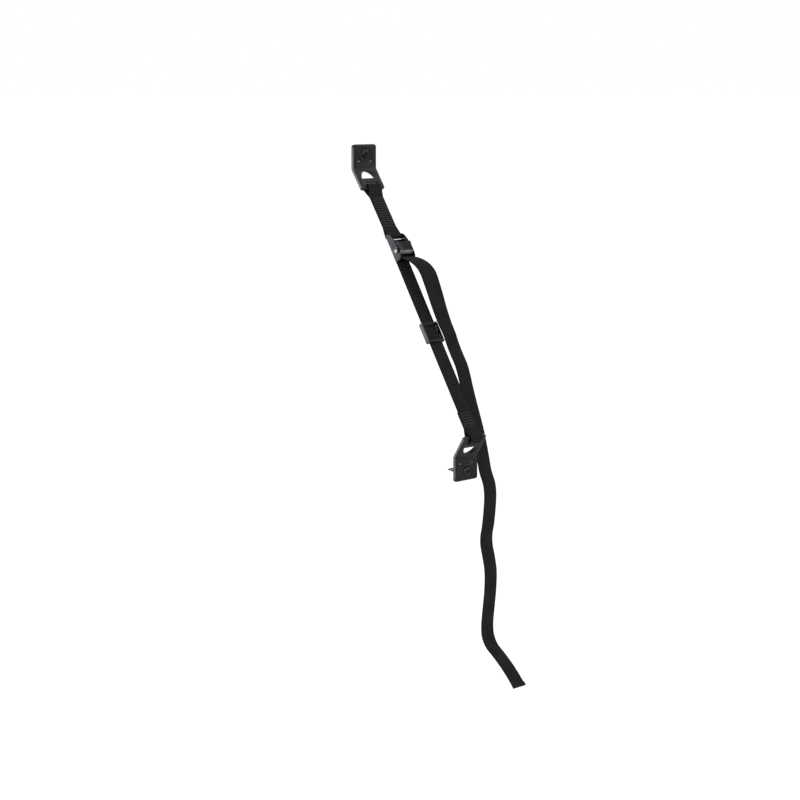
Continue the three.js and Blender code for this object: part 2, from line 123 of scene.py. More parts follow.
# Where the sewn parts are stitched across, down the web, and how wide a row is
ANCHOR_SEAMS = [15 + 3.2 * i for i in range(13)]
LOWER_SEAMS = [308.5 + 3.5 * i for i in range(6)]
SEAM_WIDTH = 22

# Where the short strap's two ends meet, down the web
JOIN_AT = 30


def linear(code):
    """An sRGB hex colour as linear red, green, blue and alpha."""
    parts = [int(code[i:i + 2], 16) / 255 for i in (0, 2, 4)]
    return tuple(c / 12.92 if c <= 0.04045 else ((c + 0.055) / 1.055) ** 2.4 for c in parts) + (1.0,)


class WebbingSettings(bpy.types.PropertyGroup):
    """Sizes and colours of the woven webbing and its sewing."""
    width: FloatProperty(name="Width", description="Width of the webbing", default=25 * MM,
                         min=5 * MM, unit="LENGTH", subtype="DISTANCE")
    thickness: FloatProperty(name="Thickness", description="Thickness of one ply", default=1.26 * MM,
                             min=0.3 * MM, unit="LENGTH", subtype="DISTANCE")
    rib_pitch: FloatProperty(name="Rib pitch", description="Distance from one cross rib to the next",
                             default=2.6 * MM, min=0.2 * MM, unit="LENGTH", subtype="DISTANCE")
    yarn_pitch: FloatProperty(name="Yarn pitch", description="Distance between lengthwise yarns",
                              default=1.4 * MM, min=0.2 * MM, unit="LENGTH", subtype="DISTANCE")
    # Painted shade: this dark colour fills the dips between the ribs and yarns, and between the twists of the
    # thread
    groove_shade: FloatVectorProperty(name="Groove", description="Painted shade between the ribs", size=4,
                                default=linear("050506"), subtype="COLOR", min=0, max=1)
    yarn: FloatVectorProperty(name="Yarn", description="Colour of the yarn on top", size=4,
                              default=linear("3c3c41"), subtype="COLOR", min=0, max=1)
    thread: FloatVectorProperty(name="Thread", description="Colour of the sewing thread", size=4,
                                default=linear("5c5c63"), subtype="COLOR", min=0, max=1)
    stitches: IntProperty(name="Stitches", description="Stitches in one row across", default=10,
                          min=3, max=14)


class MetalSettings(bpy.types.PropertyGroup):
    """Colours and edges of the metal and plastic pieces."""
    coat: FloatVectorProperty(name="Powder coat", description="Colour of the coated brackets",
                              size=4, default=linear("0d0e10"), subtype="COLOR", min=0, max=1)
    worn_and_painted_highlight: FloatVectorProperty(name="Rubbed edge", description="Colour of coat rubbed at an edge",
                              size=4, default=linear("4c4e52"), subtype="COLOR", min=0, max=1)
    buckle: FloatVectorProperty(name="Black nickel", description="Colour of the buckle", size=4,
                                default=linear("27282b"), subtype="COLOR", min=0, max=1)
    screw: FloatVectorProperty(name="Black zinc", description="Colour of screws and pin", size=4,
                               default=linear("3a3b3e"), subtype="COLOR", min=0, max=1)
    wire: FloatVectorProperty(name="Spring wire", description="Colour of the spring", size=4,
                              default=linear("a3a5a8"), subtype="COLOR", min=0, max=1)
    plastic: FloatVectorProperty(name="Plastic", description="Colour of the moulded slide", size=4,
                                 default=linear("0b0c0d"), subtype="COLOR", min=0, max=1)
    # Painted highlight: this light metal colour is painted on the lever's lip, and a dimmer share of it on
    # the pin's ends, as glints
    rubbed_and_painted_highlight: FloatVectorProperty(name="Painted highlight metal", description="Colour of metal rubbed bright",
                                size=4, default=linear("8d8f93"), subtype="COLOR", min=0, max=1)
    edge: FloatProperty(name="Edge", description="Rounding of stamped edges", default=0.3 * MM,
                        min=0.05 * MM, unit="LENGTH", subtype="DISTANCE")


class StageSettings(bpy.types.PropertyGroup):
    """Floor, light and camera."""
    floor: FloatVectorProperty(name="Floor", description="Colour of the pale floor", size=4,
                               default=linear("f8f8f7"), subtype="COLOR", min=0, max=1)
    key_power: FloatProperty(name="Key light", description="Power of the soft side light", default=14,
                             min=0, unit="POWER")
    fill_power: FloatProperty(name="Fill light", description="Power of the soft front light",
                              default=5, min=0, unit="POWER")
    edge_power: FloatProperty(name="Edge light", description="Power of the light on the left edges",
                              default=120, min=0, unit="POWER")
    lens: FloatProperty(name="Lens", description="Focal length of the camera", default=120.6, min=20,
                        unit="CAMERA")


# Helpers

def place(s, n, x=0.0):
    """A place by the web, from millimetres along it, out from it and across it."""
    return WEB_START + WEB_DOWN * (s * MM) + WEB_OUT * (n * MM) + Vector((x * MM, 0, 0))


def only(piece):
    """Selects one object and makes it the active one."""
    bpy.ops.object.select_all(action="DESELECT")
    piece.select_set(True)
    bpy.context.view_layer.objects.active = piece


def pick(piece, of_face=None, of_vertex=None):
    """In edit mode, selects the faces or vertices that pass a test on their place."""
    bpy.ops.object.mode_set(mode="OBJECT")
    mesh = piece.data
    for group in (mesh.vertices, mesh.edges, mesh.polygons):
        group.foreach_set("select", [False] * len(group))
    if of_vertex:
        for vertex in mesh.vertices:
            vertex.select = of_vertex(vertex.co)
    if of_face:
        for face in mesh.polygons:
            face.select = of_face(face)
    bpy.ops.object.mode_set(mode="EDIT")
    bpy.ops.mesh.select_mode(type="FACE" if of_face else "VERT")


def modifier(piece, kind, **settings):
    """Adds a modifier with its settings and applies it."""
    only(piece)
    made = piece.modifiers.new(kind.title(), kind)
    for key, value in settings.items():
        setattr(made, key, value)
    bpy.ops.object.modifier_apply(modifier=made.name)


def finished(piece, material, body, slot, *nodes):
    """Gives a piece its material and its body, and hides the CAD solids it stands for; the slot is not used.
    """
    piece.data.materials.clear()
    piece.data.materials.append(material)
    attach(piece, body)
    if nodes:
        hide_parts(*nodes)
    return piece


def ribbon(name, line, width, thick, closed=False, turns=None):
    """Webbing laid along a line: an edge is drawn out from place to place, turned, then thickened."""
    bpy.ops.object.select_all(action="DESELECT")
    bpy.ops.mesh.primitive_plane_add(size=width, location=(0, 0, 0))
    piece = bpy.context.object
    piece.name = name
    pick(piece, of_vertex=lambda co: co.y > 0)
    bpy.ops.mesh.delete(type="VERT")
    bpy.ops.mesh.select_all(action="SELECT")
    bpy.ops.transform.translate(value=line[0] + Vector((0, width / 2, 0)))
    for before, after in zip(line, line[1:]):
        bpy.ops.mesh.extrude_region_move(TRANSFORM_OT_translate={"value": after - before})
    bpy.ops.object.mode_set(mode="OBJECT")
    weave_map(piece, line)
    if turns:
        for vertex in piece.data.vertices:
            k = min(range(len(line)), key=lambda i: (vertex.co.yz - line[i].yz).length_squared)
            turned = Matrix.Rotation(-math.radians(turns[k]), 3, "Z") @ (vertex.co - line[k])
            vertex.co = line[k] + turned
    if closed:
        bpy.ops.object.mode_set(mode="EDIT")
        bpy.ops.mesh.select_all(action="SELECT")
        bpy.ops.mesh.remove_doubles(threshold=0.00001)
        bpy.ops.object.mode_set(mode="OBJECT")
    modifier(piece, "SOLIDIFY", thickness=thick, offset=0, use_even_offset=True)
    modifier(piece, "BEVEL", width=0.4 * MM, segments=3, limit_method="ANGLE",
             angle_limit=math.radians(60))
    bpy.ops.object.mode_set(mode="EDIT")
    bpy.ops.mesh.select_all(action="SELECT")
    bpy.ops.mesh.normals_make_consistent(inside=False)
    bpy.ops.object.mode_set(mode="OBJECT")
    bpy.ops.object.shade_smooth_by_angle(angle=math.radians(50))
    return piece


def repaint(piece, material, test):
    """Gives the faces that pass a test another material."""
    piece.data.materials.append(material)
    last = len(piece.data.materials) - 1
    for face in piece.data.polygons:
        if test(face):
            face.material_index = last


def weave_map(piece, line):
    """UV map in metres: along the webbing, and across it from its middle."""
    reach = [0.0]
    for before, after in zip(line, line[1:]):
        reach.append(reach[-1] + (after - before).length)
    middles = [(a + b) / 2 for a, b in zip(line, line[1:])]
    mesh = piece.data
    layer = mesh.uv_layers.active or mesh.uv_layers.new()
    layer.name = "weave"
    for face in mesh.polygons:
        k = min(range(len(middles)), key=lambda i: (face.center - middles[i]).length_squared)
        for loop in face.loop_indices:
            co = mesh.vertices[mesh.loops[loop].vertex_index].co
            end = min((k, k + 1), key=lambda i: (co.yz - line[i].yz).length_squared)
            layer.data[loop].uv = (reach[end], co.x - line[end].x)


def arc(centre, radius, start, end, steps):
    """Places on an arc beside the web, from angles in degrees."""
    turns = [math.radians(start + (end - start) * i / steps) for i in range(steps + 1)]
    return [place(centre[0] + radius * math.cos(t), centre[1] + radius * math.sin(t)) for t in turns]


def smooth_route(points, steps):
    """A centripetal spline through the points."""
    ends = [points[0] * 2 - points[1], *points, points[-1] * 2 - points[-2]]
    found = []
    for i in range(1, len(ends) - 2):
        p0, p1, p2, p3 = ends[i - 1:i + 3]
        d0, d1, d2 = ((b - a).length ** 0.5 for a, b in ((p0, p1), (p1, p2), (p2, p3)))
        t1 = ((p1 - p0) / d0 - (p2 - p0) / (d0 + d1) + (p2 - p1) / d1) * d1
        t2 = ((p2 - p1) / d1 - (p3 - p1) / (d1 + d2) + (p3 - p2) / d2) * d1
        for step in range(steps):
            t = step / steps
            found.append(p1 + t1 * t + (p2 * 3 - p1 * 3 - t1 * 2 - t2) * t ** 2
                         + (p1 * 2 - p2 * 2 + t1 + t2) * t ** 3)
    return [*found, points[-1].copy()]


def dressed(node, name, edge, sharp=50):
    """A merged copy of a CAD solid with its flat seams dissolved and its stamped edges rounded."""
    only(frame["nodes"][node])
    bpy.ops.object.duplicate()
    piece = bpy.context.object
    bpy.ops.object.parent_clear(type="CLEAR_KEEP_TRANSFORM")
    piece.name = name
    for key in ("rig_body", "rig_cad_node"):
        del piece[key]
    bpy.ops.object.mode_set(mode="EDIT")
    bpy.ops.mesh.select_all(action="SELECT")
    bpy.ops.mesh.customdata_custom_splitnormals_clear()
    bpy.ops.mesh.remove_doubles(threshold=0.000005)
    bpy.ops.mesh.dissolve_limited(angle_limit=math.radians(0.5))
    bpy.ops.object.mode_set(mode="OBJECT")
    if edge:
        modifier(piece, "BEVEL", width=edge, segments=2, limit_method="ANGLE",
                 angle_limit=math.radians(sharp))
    bpy.ops.object.shade_smooth_by_angle(angle=math.radians(sharp))
    return piece


# Materials

def add(tree, kind, inputs=None, **settings):
    """Adds one node with its settings, and fills or links its inputs."""
    made = tree.nodes.new(kind)
    for key, value in settings.items():
        setattr(made, key, value)
    for key, value in (inputs or {}).items():
        if isinstance(value, bpy.types.NodeSocket):
            tree.links.new(value, made.inputs[key])
        else:
            made.inputs[key].default_value = value
    return made


def started(name):
    """A new material with an empty node tree."""
    made = bpy.data.materials.new(name)
    made.use_nodes = True
    made.node_tree.nodes.clear()
    return made, made.node_tree


def closed_off(tree, inputs):
    """Ends a tree in a Principled shader with these inputs."""
    shader = add(tree, "ShaderNodeBsdfPrincipled", inputs)
    add(tree, "ShaderNodeOutputMaterial", {"Surface": shader.outputs["BSDF"]})


def mixed(tree, share, low, high):
    """Two colours mixed by a share."""
    return add(tree, "ShaderNodeMix", {0: share, 6: low, 7: high}, data_type="RGBA").outputs[2]


def spread(tree, value, low, high, start=0.0, end=1.0):
    """A value from one range laid out on another."""
    inputs = {"Value": value, "From Min": start, "From Max": end, "To Min": low, "To Max": high}
    return add(tree, "ShaderNodeMapRange", inputs).outputs["Result"]


def woven_polyester(name, settings, slant):
    """Ribbed black webbing: cross ribs crossed by fine lengthwise yarns, dull, with a faint fuzz, and painted
    shade in the dips between ribs and yarns.
    The real ribs are about 1.3 mm apart, too fine to show from the camera, so they are drawn wider."""
    made, tree = started(name)
    uv = add(tree, "ShaderNodeUVMap", uv_map="weave")
    parts = add(tree, "ShaderNodeSeparateXYZ", {0: uv.outputs["UV"]})
    along, across = parts.outputs["X"], parts.outputs["Y"]

    def sums(operation, *values):
        inputs = dict(enumerate(values))
        return add(tree, "ShaderNodeMath", inputs, operation=operation).outputs[0]

    slanted = sums("MULTIPLY_ADD", across, slant, along)
    rows = sums("DIVIDE", slanted, settings.rib_pitch)
    rib = sums("ABSOLUTE", sums("SINE", sums("MULTIPLY", rows, math.pi)))
    phase = sums("MULTIPLY", sums("FLOOR", rows), math.pi)
    turns = sums("MULTIPLY_ADD", across, 2 * math.pi / settings.yarn_pitch, phase)
    yarn = sums("MULTIPLY_ADD", sums("SINE", turns), 0.5, 0.5)
    height = sums("MULTIPLY", rib, sums("MULTIPLY_ADD", yarn, 0.35, 0.65))
    where = add(tree, "ShaderNodeTexCoord").outputs["Object"]
    fuzz = add(tree, "ShaderNodeTexNoise", {"Vector": where, "Scale": 1400, "Detail": 3})
    drift = add(tree, "ShaderNodeTexNoise", {"Vector": where, "Scale": 45, "Detail": 2})
    shade = sums("MULTIPLY", height, spread(tree, fuzz.outputs["Fac"], 0.55, 1.35, 0.3, 0.7))
    shade = sums("MULTIPLY", shade, spread(tree, drift.outputs["Fac"], 0.75, 1.15, 0.3, 0.7))
    selvedge = spread(tree, sums("ABSOLUTE", across), 1.0, 0.45, settings.width * 0.44, settings.width * 0.49)
    # Painted shade: the colour runs from the dark colour in the dips to the yarn colour on the rib tops; fuzz
    # and drift vary it at random, and it darkens towards the edges
    colour = mixed(tree, sums("MULTIPLY", shade, selvedge), settings.groove_shade[:], settings.yarn[:])
    relief = sums("MULTIPLY_ADD", fuzz.outputs["Fac"], 0.25, height)
    bump = add(tree, "ShaderNodeBump", {"Height": relief, "Strength": 0.8, "Distance": 0.3 * MM})
    closed_off(tree, {
        "Base Color": colour, "Roughness": spread(tree, fuzz.outputs["Fac"], 0.72, 0.92),
        "Specular IOR Level": 0.03, "Sheen Weight": 0.02, "Sheen Roughness": 0.5,
        "Normal": bump.outputs["Normal"]})
    return made


def sewing_thread(settings):
    """Twisted bonded thread, a little brighter than the webbing it sinks into, with painted shade between its
    twists.
    """
    made, tree = started("Bonded sewing thread")
    where = add(tree, "ShaderNodeTexCoord").outputs["Object"]
    twist = add(tree, "ShaderNodeTexWave", {"Vector": where, "Scale": 500, "Distortion": 1.0},
                bands_direction="DIAGONAL")
    # Painted shade: the twist bands run from the dark dip colour between the plies to the thread colour
    colour = mixed(tree, twist.outputs["Fac"], settings.groove_shade[:], settings.thread[:])
    bump = add(tree, "ShaderNodeBump", {"Height": twist.outputs["Fac"], "Strength": 0.5,
                                        "Distance": 0.1 * MM})
    closed_off(tree, {"Base Color": colour, "Roughness": 0.55, "Specular IOR Level": 0.2,
                      "Sheen Weight": 0.05, "Normal": bump.outputs["Normal"]})
    return made


def powder_coat(settings):
    """Baked black powder coat on steel: half dull, a fine orange peel, rubbed lighter at the edges."""
    made, tree = started("Black powder coat")
    where = add(tree, "ShaderNodeTexCoord").outputs["Object"]
    peel = add(tree, "ShaderNodeTexNoise", {"Vector": where, "Scale": 950, "Detail": 2})
    cloud = add(tree, "ShaderNodeTexNoise", {"Vector": where, "Scale": 70, "Detail": 5})
    soft = add(tree, "ShaderNodeBevel", {"Radius": 0.5 * MM}, samples=6)
    true = add(tree, "ShaderNodeNewGeometry")
    bend = add(tree, "ShaderNodeVectorMath", {0: soft.outputs[0], 1: true.outputs["Normal"]},
               operation="DOT_PRODUCT")
    edge = spread(tree, bend.outputs["Value"], 1.0, 0.0, 0.86, 0.99)
    chips = spread(tree, cloud.outputs["Fac"], 0.0, 0.75, 0.4, 0.65)
    rubbed_and_painted_highlight = add(tree, "ShaderNodeMath", {0: edge, 1: chips}, operation="MULTIPLY").outputs[0]
    mottled = mixed(tree, spread(tree, cloud.outputs["Fac"], 0.0, 0.12, 0.3, 0.7),
                    settings.coat[:], settings.worn_and_painted_highlight[:])
    colour = mixed(tree, rubbed_and_painted_highlight, mottled, settings.worn_and_painted_highlight[:])
    bump = add(tree, "ShaderNodeBump", {"Height": peel.outputs["Fac"], "Strength": 0.35,
                                        "Distance": 0.06 * MM})
    closed_off(tree, {
        "Base Color": colour, "Roughness": spread(tree, cloud.outputs["Fac"], 0.34, 0.5, 0.3, 0.7),
        "Specular IOR Level": 0.22, "Normal": bump.outputs["Normal"]})
    return made


def plated_steel(name, colour, rough, grain):
    """Plated steel: dark and metallic, drawn or stamped, with fine scratches one way."""
    made, tree = started(name)
    where = add(tree, "ShaderNodeTexCoord").outputs["Object"]
    along = add(tree, "ShaderNodeMapping", {"Vector": where, "Scale": grain})
    lines = add(tree, "ShaderNodeTexNoise", {"Vector": along.outputs[0], "Scale": 1, "Detail": 4})
    cloud = add(tree, "ShaderNodeTexNoise", {"Vector": where, "Scale": 130, "Detail": 3})
    dark = tuple(0.45 * c for c in colour[:3]) + (1.0,)
    tone = mixed(tree, spread(tree, cloud.outputs["Fac"], 0, 1, 0.35, 0.65), dark, tuple(colour))
    bump = add(tree, "ShaderNodeBump", {"Height": lines.outputs["Fac"], "Strength": 0.25,
                                        "Distance": 0.05 * MM})
    closed_off(tree, {
        "Base Color": tone, "Metallic": 0.9,
        "Roughness": spread(tree, lines.outputs["Fac"], rough - 0.06, rough + 0.1),
        "Normal": bump.outputs["Normal"]})
    return made


def moulded_acetal(settings):
    """Moulded acetal: near black, waxy, with the faint grain of the mould."""
    made, tree = started("Moulded black acetal")
    where = add(tree, "ShaderNodeTexCoord").outputs["Object"]
    grain = add(tree, "ShaderNodeTexNoise", {"Vector": where, "Scale": 1300, "Detail": 2})
    cloud = add(tree, "ShaderNodeTexNoise", {"Vector": where, "Scale": 90, "Detail": 3})
    lighter = tuple(1.5 * c for c in settings.plastic[:3]) + (1.0,)
    tone = mixed(tree, cloud.outputs["Fac"], settings.plastic[:], lighter)
    bump = add(tree, "ShaderNodeBump", {"Height": grain.outputs["Fac"], "Strength": 0.3,
                                        "Distance": 0.04 * MM})
    closed_off(tree, {
        "Base Color": tone, "Roughness": spread(tree, cloud.outputs["Fac"], 0.28, 0.42),
        "Specular IOR Level": 0.15, "Normal": bump.outputs["Normal"]})
    return made


# Operators

class TIPSTRAP_OT_stage(bpy.types.Operator):
    """Pale floor, plain white surroundings, soft lamps and the camera."""
    bl_idname = "tipstrap.stage"
    bl_label = "Stage"

    def execute(self, context):
        settings = context.scene.tip_stage
        bpy.ops.object.select_all(action="DESELECT")
        bpy.ops.mesh.primitive_plane_add(size=600, location=(0, 0, CAD_LOW.z - 0.006))
        floor = context.object
        floor.name = "floor"
        made, tree = started("Pale painted floor")
        diffuse = add(tree, "ShaderNodeBsdfDiffuse", {"Color": settings.floor[:]})
        glow = add(tree, "ShaderNodeEmission", {"Color": (1, 1, 1, 1), "Strength": 1.5})
        path = add(tree, "ShaderNodeLightPath")
        share = add(tree, "ShaderNodeMath", {0: path.outputs["Is Camera Ray"], 1: 0.6},
                    operation="MULTIPLY")
        both = add(tree, "ShaderNodeMixShader", {0: share.outputs[0], 1: diffuse.outputs[0],
                                                 2: glow.outputs[0]})
        add(tree, "ShaderNodeOutputMaterial", {"Surface": both.outputs[0]})
        floor.data.materials.append(made)
        self.surroundings(context)
        aim = Vector((0, -0.1, -0.3))
        lamps = (
            ("key", (-1.75, -0.55, 0.45), 1.3, settings.key_power),
            ("fill", (0.7, -2.4, 0.9), 1.6, settings.fill_power),
            ("top", (-0.3, -0.5, 2.0), 1.4, settings.fill_power),
            ("edge", (-1.7, 1.15, -0.45), 1.5, settings.edge_power),
        )
        for name, spot, size, power in lamps:
            spot = Vector(spot)
            bpy.ops.object.light_add(type="AREA", location=spot)
            lamp = context.object
            lamp.name = name
            lamp.data.size = size
            lamp.data.energy = power
            lamp.rotation_euler = (aim - spot).to_track_quat("-Z", "Y").to_euler()
        bpy.ops.object.camera_add(location=CAMERA_AT)
        camera = context.object
        camera.rotation_euler = Vector(CAMERA_LOOK).to_track_quat("-Z", "Y").to_euler()
        camera.data.lens = settings.lens
        camera.data.sensor_width = 36
        camera.data.clip_end = 800
        context.scene.camera = camera
        context.scene.view_settings.view_transform = "Standard"
        return {"FINISHED"}

    def surroundings(self, context):
        """White where the camera or a mirror sees it, and plain soft light elsewhere."""
        world = bpy.data.worlds.new("surroundings")
        context.scene.world = world
        world.use_nodes = True
        tree = world.node_tree
        tree.nodes.clear()
        path = add(tree, "ShaderNodeLightPath")
        seen = add(tree, "ShaderNodeMath", {0: path.outputs["Is Camera Ray"],
                                            1: path.outputs["Is Transmission Ray"]}, operation="MAXIMUM")
        seen = add(tree, "ShaderNodeMath", {0: seen.outputs[0], 1: path.outputs["Is Glossy Ray"]},
                   operation="MAXIMUM")
        light = add(tree, "ShaderNodeBackground", {"Color": (1, 1, 1, 1), "Strength": 0.35})
        white = add(tree, "ShaderNodeBackground", {"Color": (1, 1, 1, 1), "Strength": 1.0})
        both = add(tree, "ShaderNodeMixShader", {0: seen.outputs[0], 1: light.outputs[0],
                                                 2: white.outputs[0]})
        add(tree, "ShaderNodeOutputWorld", {"Surface": both.outputs[0]})


class TIPSTRAP_OT_tail(bpy.types.Operator):
    """The free tail of the webbing, hanging from the buckle, with its folded hem."""
    bl_idname = "tipstrap.tail"
    bl_label = "Free tail"

    def execute(self, context):
        settings = context.scene.tip_webbing
        steps = 4
        route = smooth_route([Vector((x, -out, up)) * MM for x, out, up, _ in TAIL_ROUTE], steps)
        turns = [row[3] for row in TAIL_ROUTE]
        turns = [a + (b - a) * i / steps for a, b in zip(turns, turns[1:]) for i in range(steps)]
        turns.append(TAIL_ROUTE[-1][3])
        tail = ribbon("tail_webbing", route, settings.width, settings.thickness, turns=turns)
        cloth = woven_polyester("Woven polyester, twill side", settings, -0.55)
        finished(tail, cloth, "strap", "black_web", "tail_strap")
        run = (route[-1] - route[-4]).normalized()
        facing = run.cross(Vector((1, 0, 0))).normalized()
        if facing.y > 0:
            facing.negate()
        lift = facing * settings.thickness * 0.98
        hem_line = [route[-1] + lift - run * (d * MM) for d in (0.1, 2.5, 5.0)]
        hem = ribbon("tail_hem", hem_line, settings.width * 0.995, settings.thickness)
        finished(hem, cloth, "strap", "black_web")
        return {"FINISHED"}


class TIPSTRAP_OT_anchor_webbing(bpy.types.Operator):
    """The short doubled strap between the upper bracket and the buckle."""
    bl_idname = "tipstrap.anchor_webbing"
    bl_label = "Anchor webbing"

    def execute(self, context):
        settings = context.scene.tip_webbing
        bar = Vector(BUCKLE_BAR)
        span, tilt = bar.length, math.degrees(math.atan2(bar.y, bar.x))
        ahead = bar.normalized()

        def beside(along, side):
            return place(along * ahead.x - side * ahead.y, along * ahead.y + side * ahead.x)

        half = PLY / 2
        lean = math.degrees(math.asin((BAR_LOOP - half) / LOOP_TAPER))
        small = math.degrees(math.asin((BUCKLE_LOOP - half) / LOOP_TAPER))
        line = [beside(JOIN_AT, -half), beside(LOOP_TAPER + 1, -half), beside(LOOP_TAPER, -half)]
        line += arc((0, 0), BAR_LOOP, 270 + lean + tilt, 90 - lean + tilt, 18)
        line += [beside(LOOP_TAPER, half), beside(LOOP_TAPER + 1, half)]
        line += [beside(span - LOOP_TAPER - 1, half), beside(span - LOOP_TAPER, half)]
        line += arc(BUCKLE_BAR, BUCKLE_LOOP, 90 + small + tilt, -90 - small + tilt, 16)
        line += [beside(span - LOOP_TAPER, -half), beside(span - LOOP_TAPER - 1, -half)]
        line += [beside(JOIN_AT, -half)]
        strap = ribbon("anchor_webbing", line, settings.width, settings.thickness, closed=True)
        cloth = woven_polyester("Woven polyester, ribbed side", settings, 0.0)
        finished(strap, cloth, "strap", "black_web", "anchor_strap")
        return {"FINISHED"}


class TIPSTRAP_OT_main_webbing(bpy.types.Operator):
    """The taut web, from its turn in the buckle to its sewn loop at the lower bracket."""
    bl_idname = "tipstrap.main_webbing"
    bl_label = "Main webbing"

    def execute(self, context):
        settings = context.scene.tip_webbing
        half = PLY / 2
        lean = math.degrees(math.asin((BAR_LOOP - half) / LOOP_TAPER))
        neck = WEB_LENGTH - LOOP_TAPER
        line = [place(TAIL_AT, 2 * TURN_RADIUS)]
        line += arc((TURN_AT, TURN_RADIUS), TURN_RADIUS, 90, 270, 10)
        line += [place(TURN_AT + 2, 0), place(neck - 1, 0), place(neck, 0)]
        line += arc((WEB_LENGTH, -half), BAR_LOOP, 90 + lean, -90 - lean, 18)
        line += [place(neck, -2 * half), place(neck - 1, -2 * half)]
        line += [place(neck - SEWN_LENGTH, -2 * half)]
        strap = ribbon("main_webbing", line, settings.width, settings.thickness)
        cloth = bpy.data.materials["Woven polyester, ribbed side"]
        finished(strap, cloth, "strap", "black_web", "main_strap")
        return {"FINISHED"}


class TIPSTRAP_OT_stitching(bpy.types.Operator):
    """Rows of stitches across the sewn parts of both straps."""
    bl_idname = "tipstrap.stitching"
    bl_label = "Stitching"

    def execute(self, context):
        settings = context.scene.tip_webbing
        slope = BUCKLE_BAR[1] / BUCKLE_BAR[0]
        faces = [(s, slope * s + side * PLY) for s in ANCHOR_SEAMS for side in (-1, 1)]
        faces += [(s, n) for n in (0.5 * PLY, -1.5 * PLY) for s in LOWER_SEAMS]
        bpy.ops.object.select_all(action="DESELECT")
        bpy.ops.mesh.primitive_cube_add(size=1, location=(0, 0, 0))
        first = context.object
        bpy.ops.object.mode_set(mode="EDIT")
        bpy.ops.mesh.subdivide(number_cuts=1)
        bpy.ops.transform.resize(value=(1.75 * MM, 0.9 * MM, 0.6 * MM))
        pick(first, of_vertex=lambda co: abs(co.x) > 0.8 * MM)
        bpy.ops.transform.translate(value=(0, 0, -0.22 * MM))
        bpy.ops.object.mode_set(mode="OBJECT")
        modifier(first, "SUBSURF", levels=1, render_levels=1)
        bpy.ops.object.shade_smooth()
        copies = []
        pitch = SEAM_WIDTH / settings.stitches
        for s, n in faces:
            outward = WEB_OUT if n > slope * s * 0.5 else -WEB_OUT
            turned = Vector((1, 0, 0)), outward.cross(Vector((1, 0, 0))), outward
            basis = Matrix(turned).transposed().to_4x4()
            for i in range(settings.stitches):
                across = (i - (settings.stitches - 1) / 2) * pitch
                copy = first.copy()
                copy.data = first.data.copy()
                context.collection.objects.link(copy)
                copy.matrix_world = Matrix.Translation(place(s, n, across)) @ basis
                copies.append(copy)
        bpy.data.objects.remove(first)
        bpy.ops.object.select_all(action="DESELECT")
        for copy in copies:
            copy.select_set(True)
        context.view_layer.objects.active = copies[0]
        bpy.ops.object.join()
        rows = context.object
        rows.name = "seam_stitches"
        bpy.ops.object.transform_apply(location=True, rotation=True, scale=True)
        finished(rows, sewing_thread(settings), "strap", "black_web")
        return {"FINISHED"}


class TIPSTRAP_OT_brackets(bpy.types.Operator):
    """Both cranked brackets in black powder coat."""
    bl_idname = "tipstrap.brackets"
    bl_label = "Brackets"

    def execute(self, context):
        settings = context.scene.tip_metal
        coat = powder_coat(settings)
        for end in ("upper", "lower"):
            piece = dressed(f"{end}_bracket", f"{end}_bracket_coated", settings.edge)
            finished(piece, coat, "strap", "black_coat", f"{end}_bracket")
        return {"FINISHED"}


class TIPSTRAP_OT_screws(bpy.types.Operator):
    """The two pan head screws and the buckle's pin, in black zinc."""
    bl_idname = "tipstrap.screws"
    bl_label = "Screws and pin"

    def execute(self, context):
        settings = context.scene.tip_metal
        zinc = plated_steel("Black zinc plate", settings.screw, 0.3, (500, 3000, 500))
        for node in ("upper_screw", "lower_screw", "cam_pin"):
            piece = dressed(node, f"{node}_plated", 0.12 * MM, 38)
            finished(piece, zinc, "strap", "black_steel", node)
        # Painted highlight: the pin's flat ends get a lighter zinc colour that stands in for a glint
        dim = tuple(0.3 * c for c in settings.rubbed_and_painted_highlight[:3]) + (1.0,)
        worn_and_painted_highlight = plated_steel("Zinc with a painted highlight on the pin ends", dim, 0.32, (900, 900, 900))
        repaint(piece, worn_and_painted_highlight, lambda face: abs(face.normal.x) > 0.95)
        return {"FINISHED"}


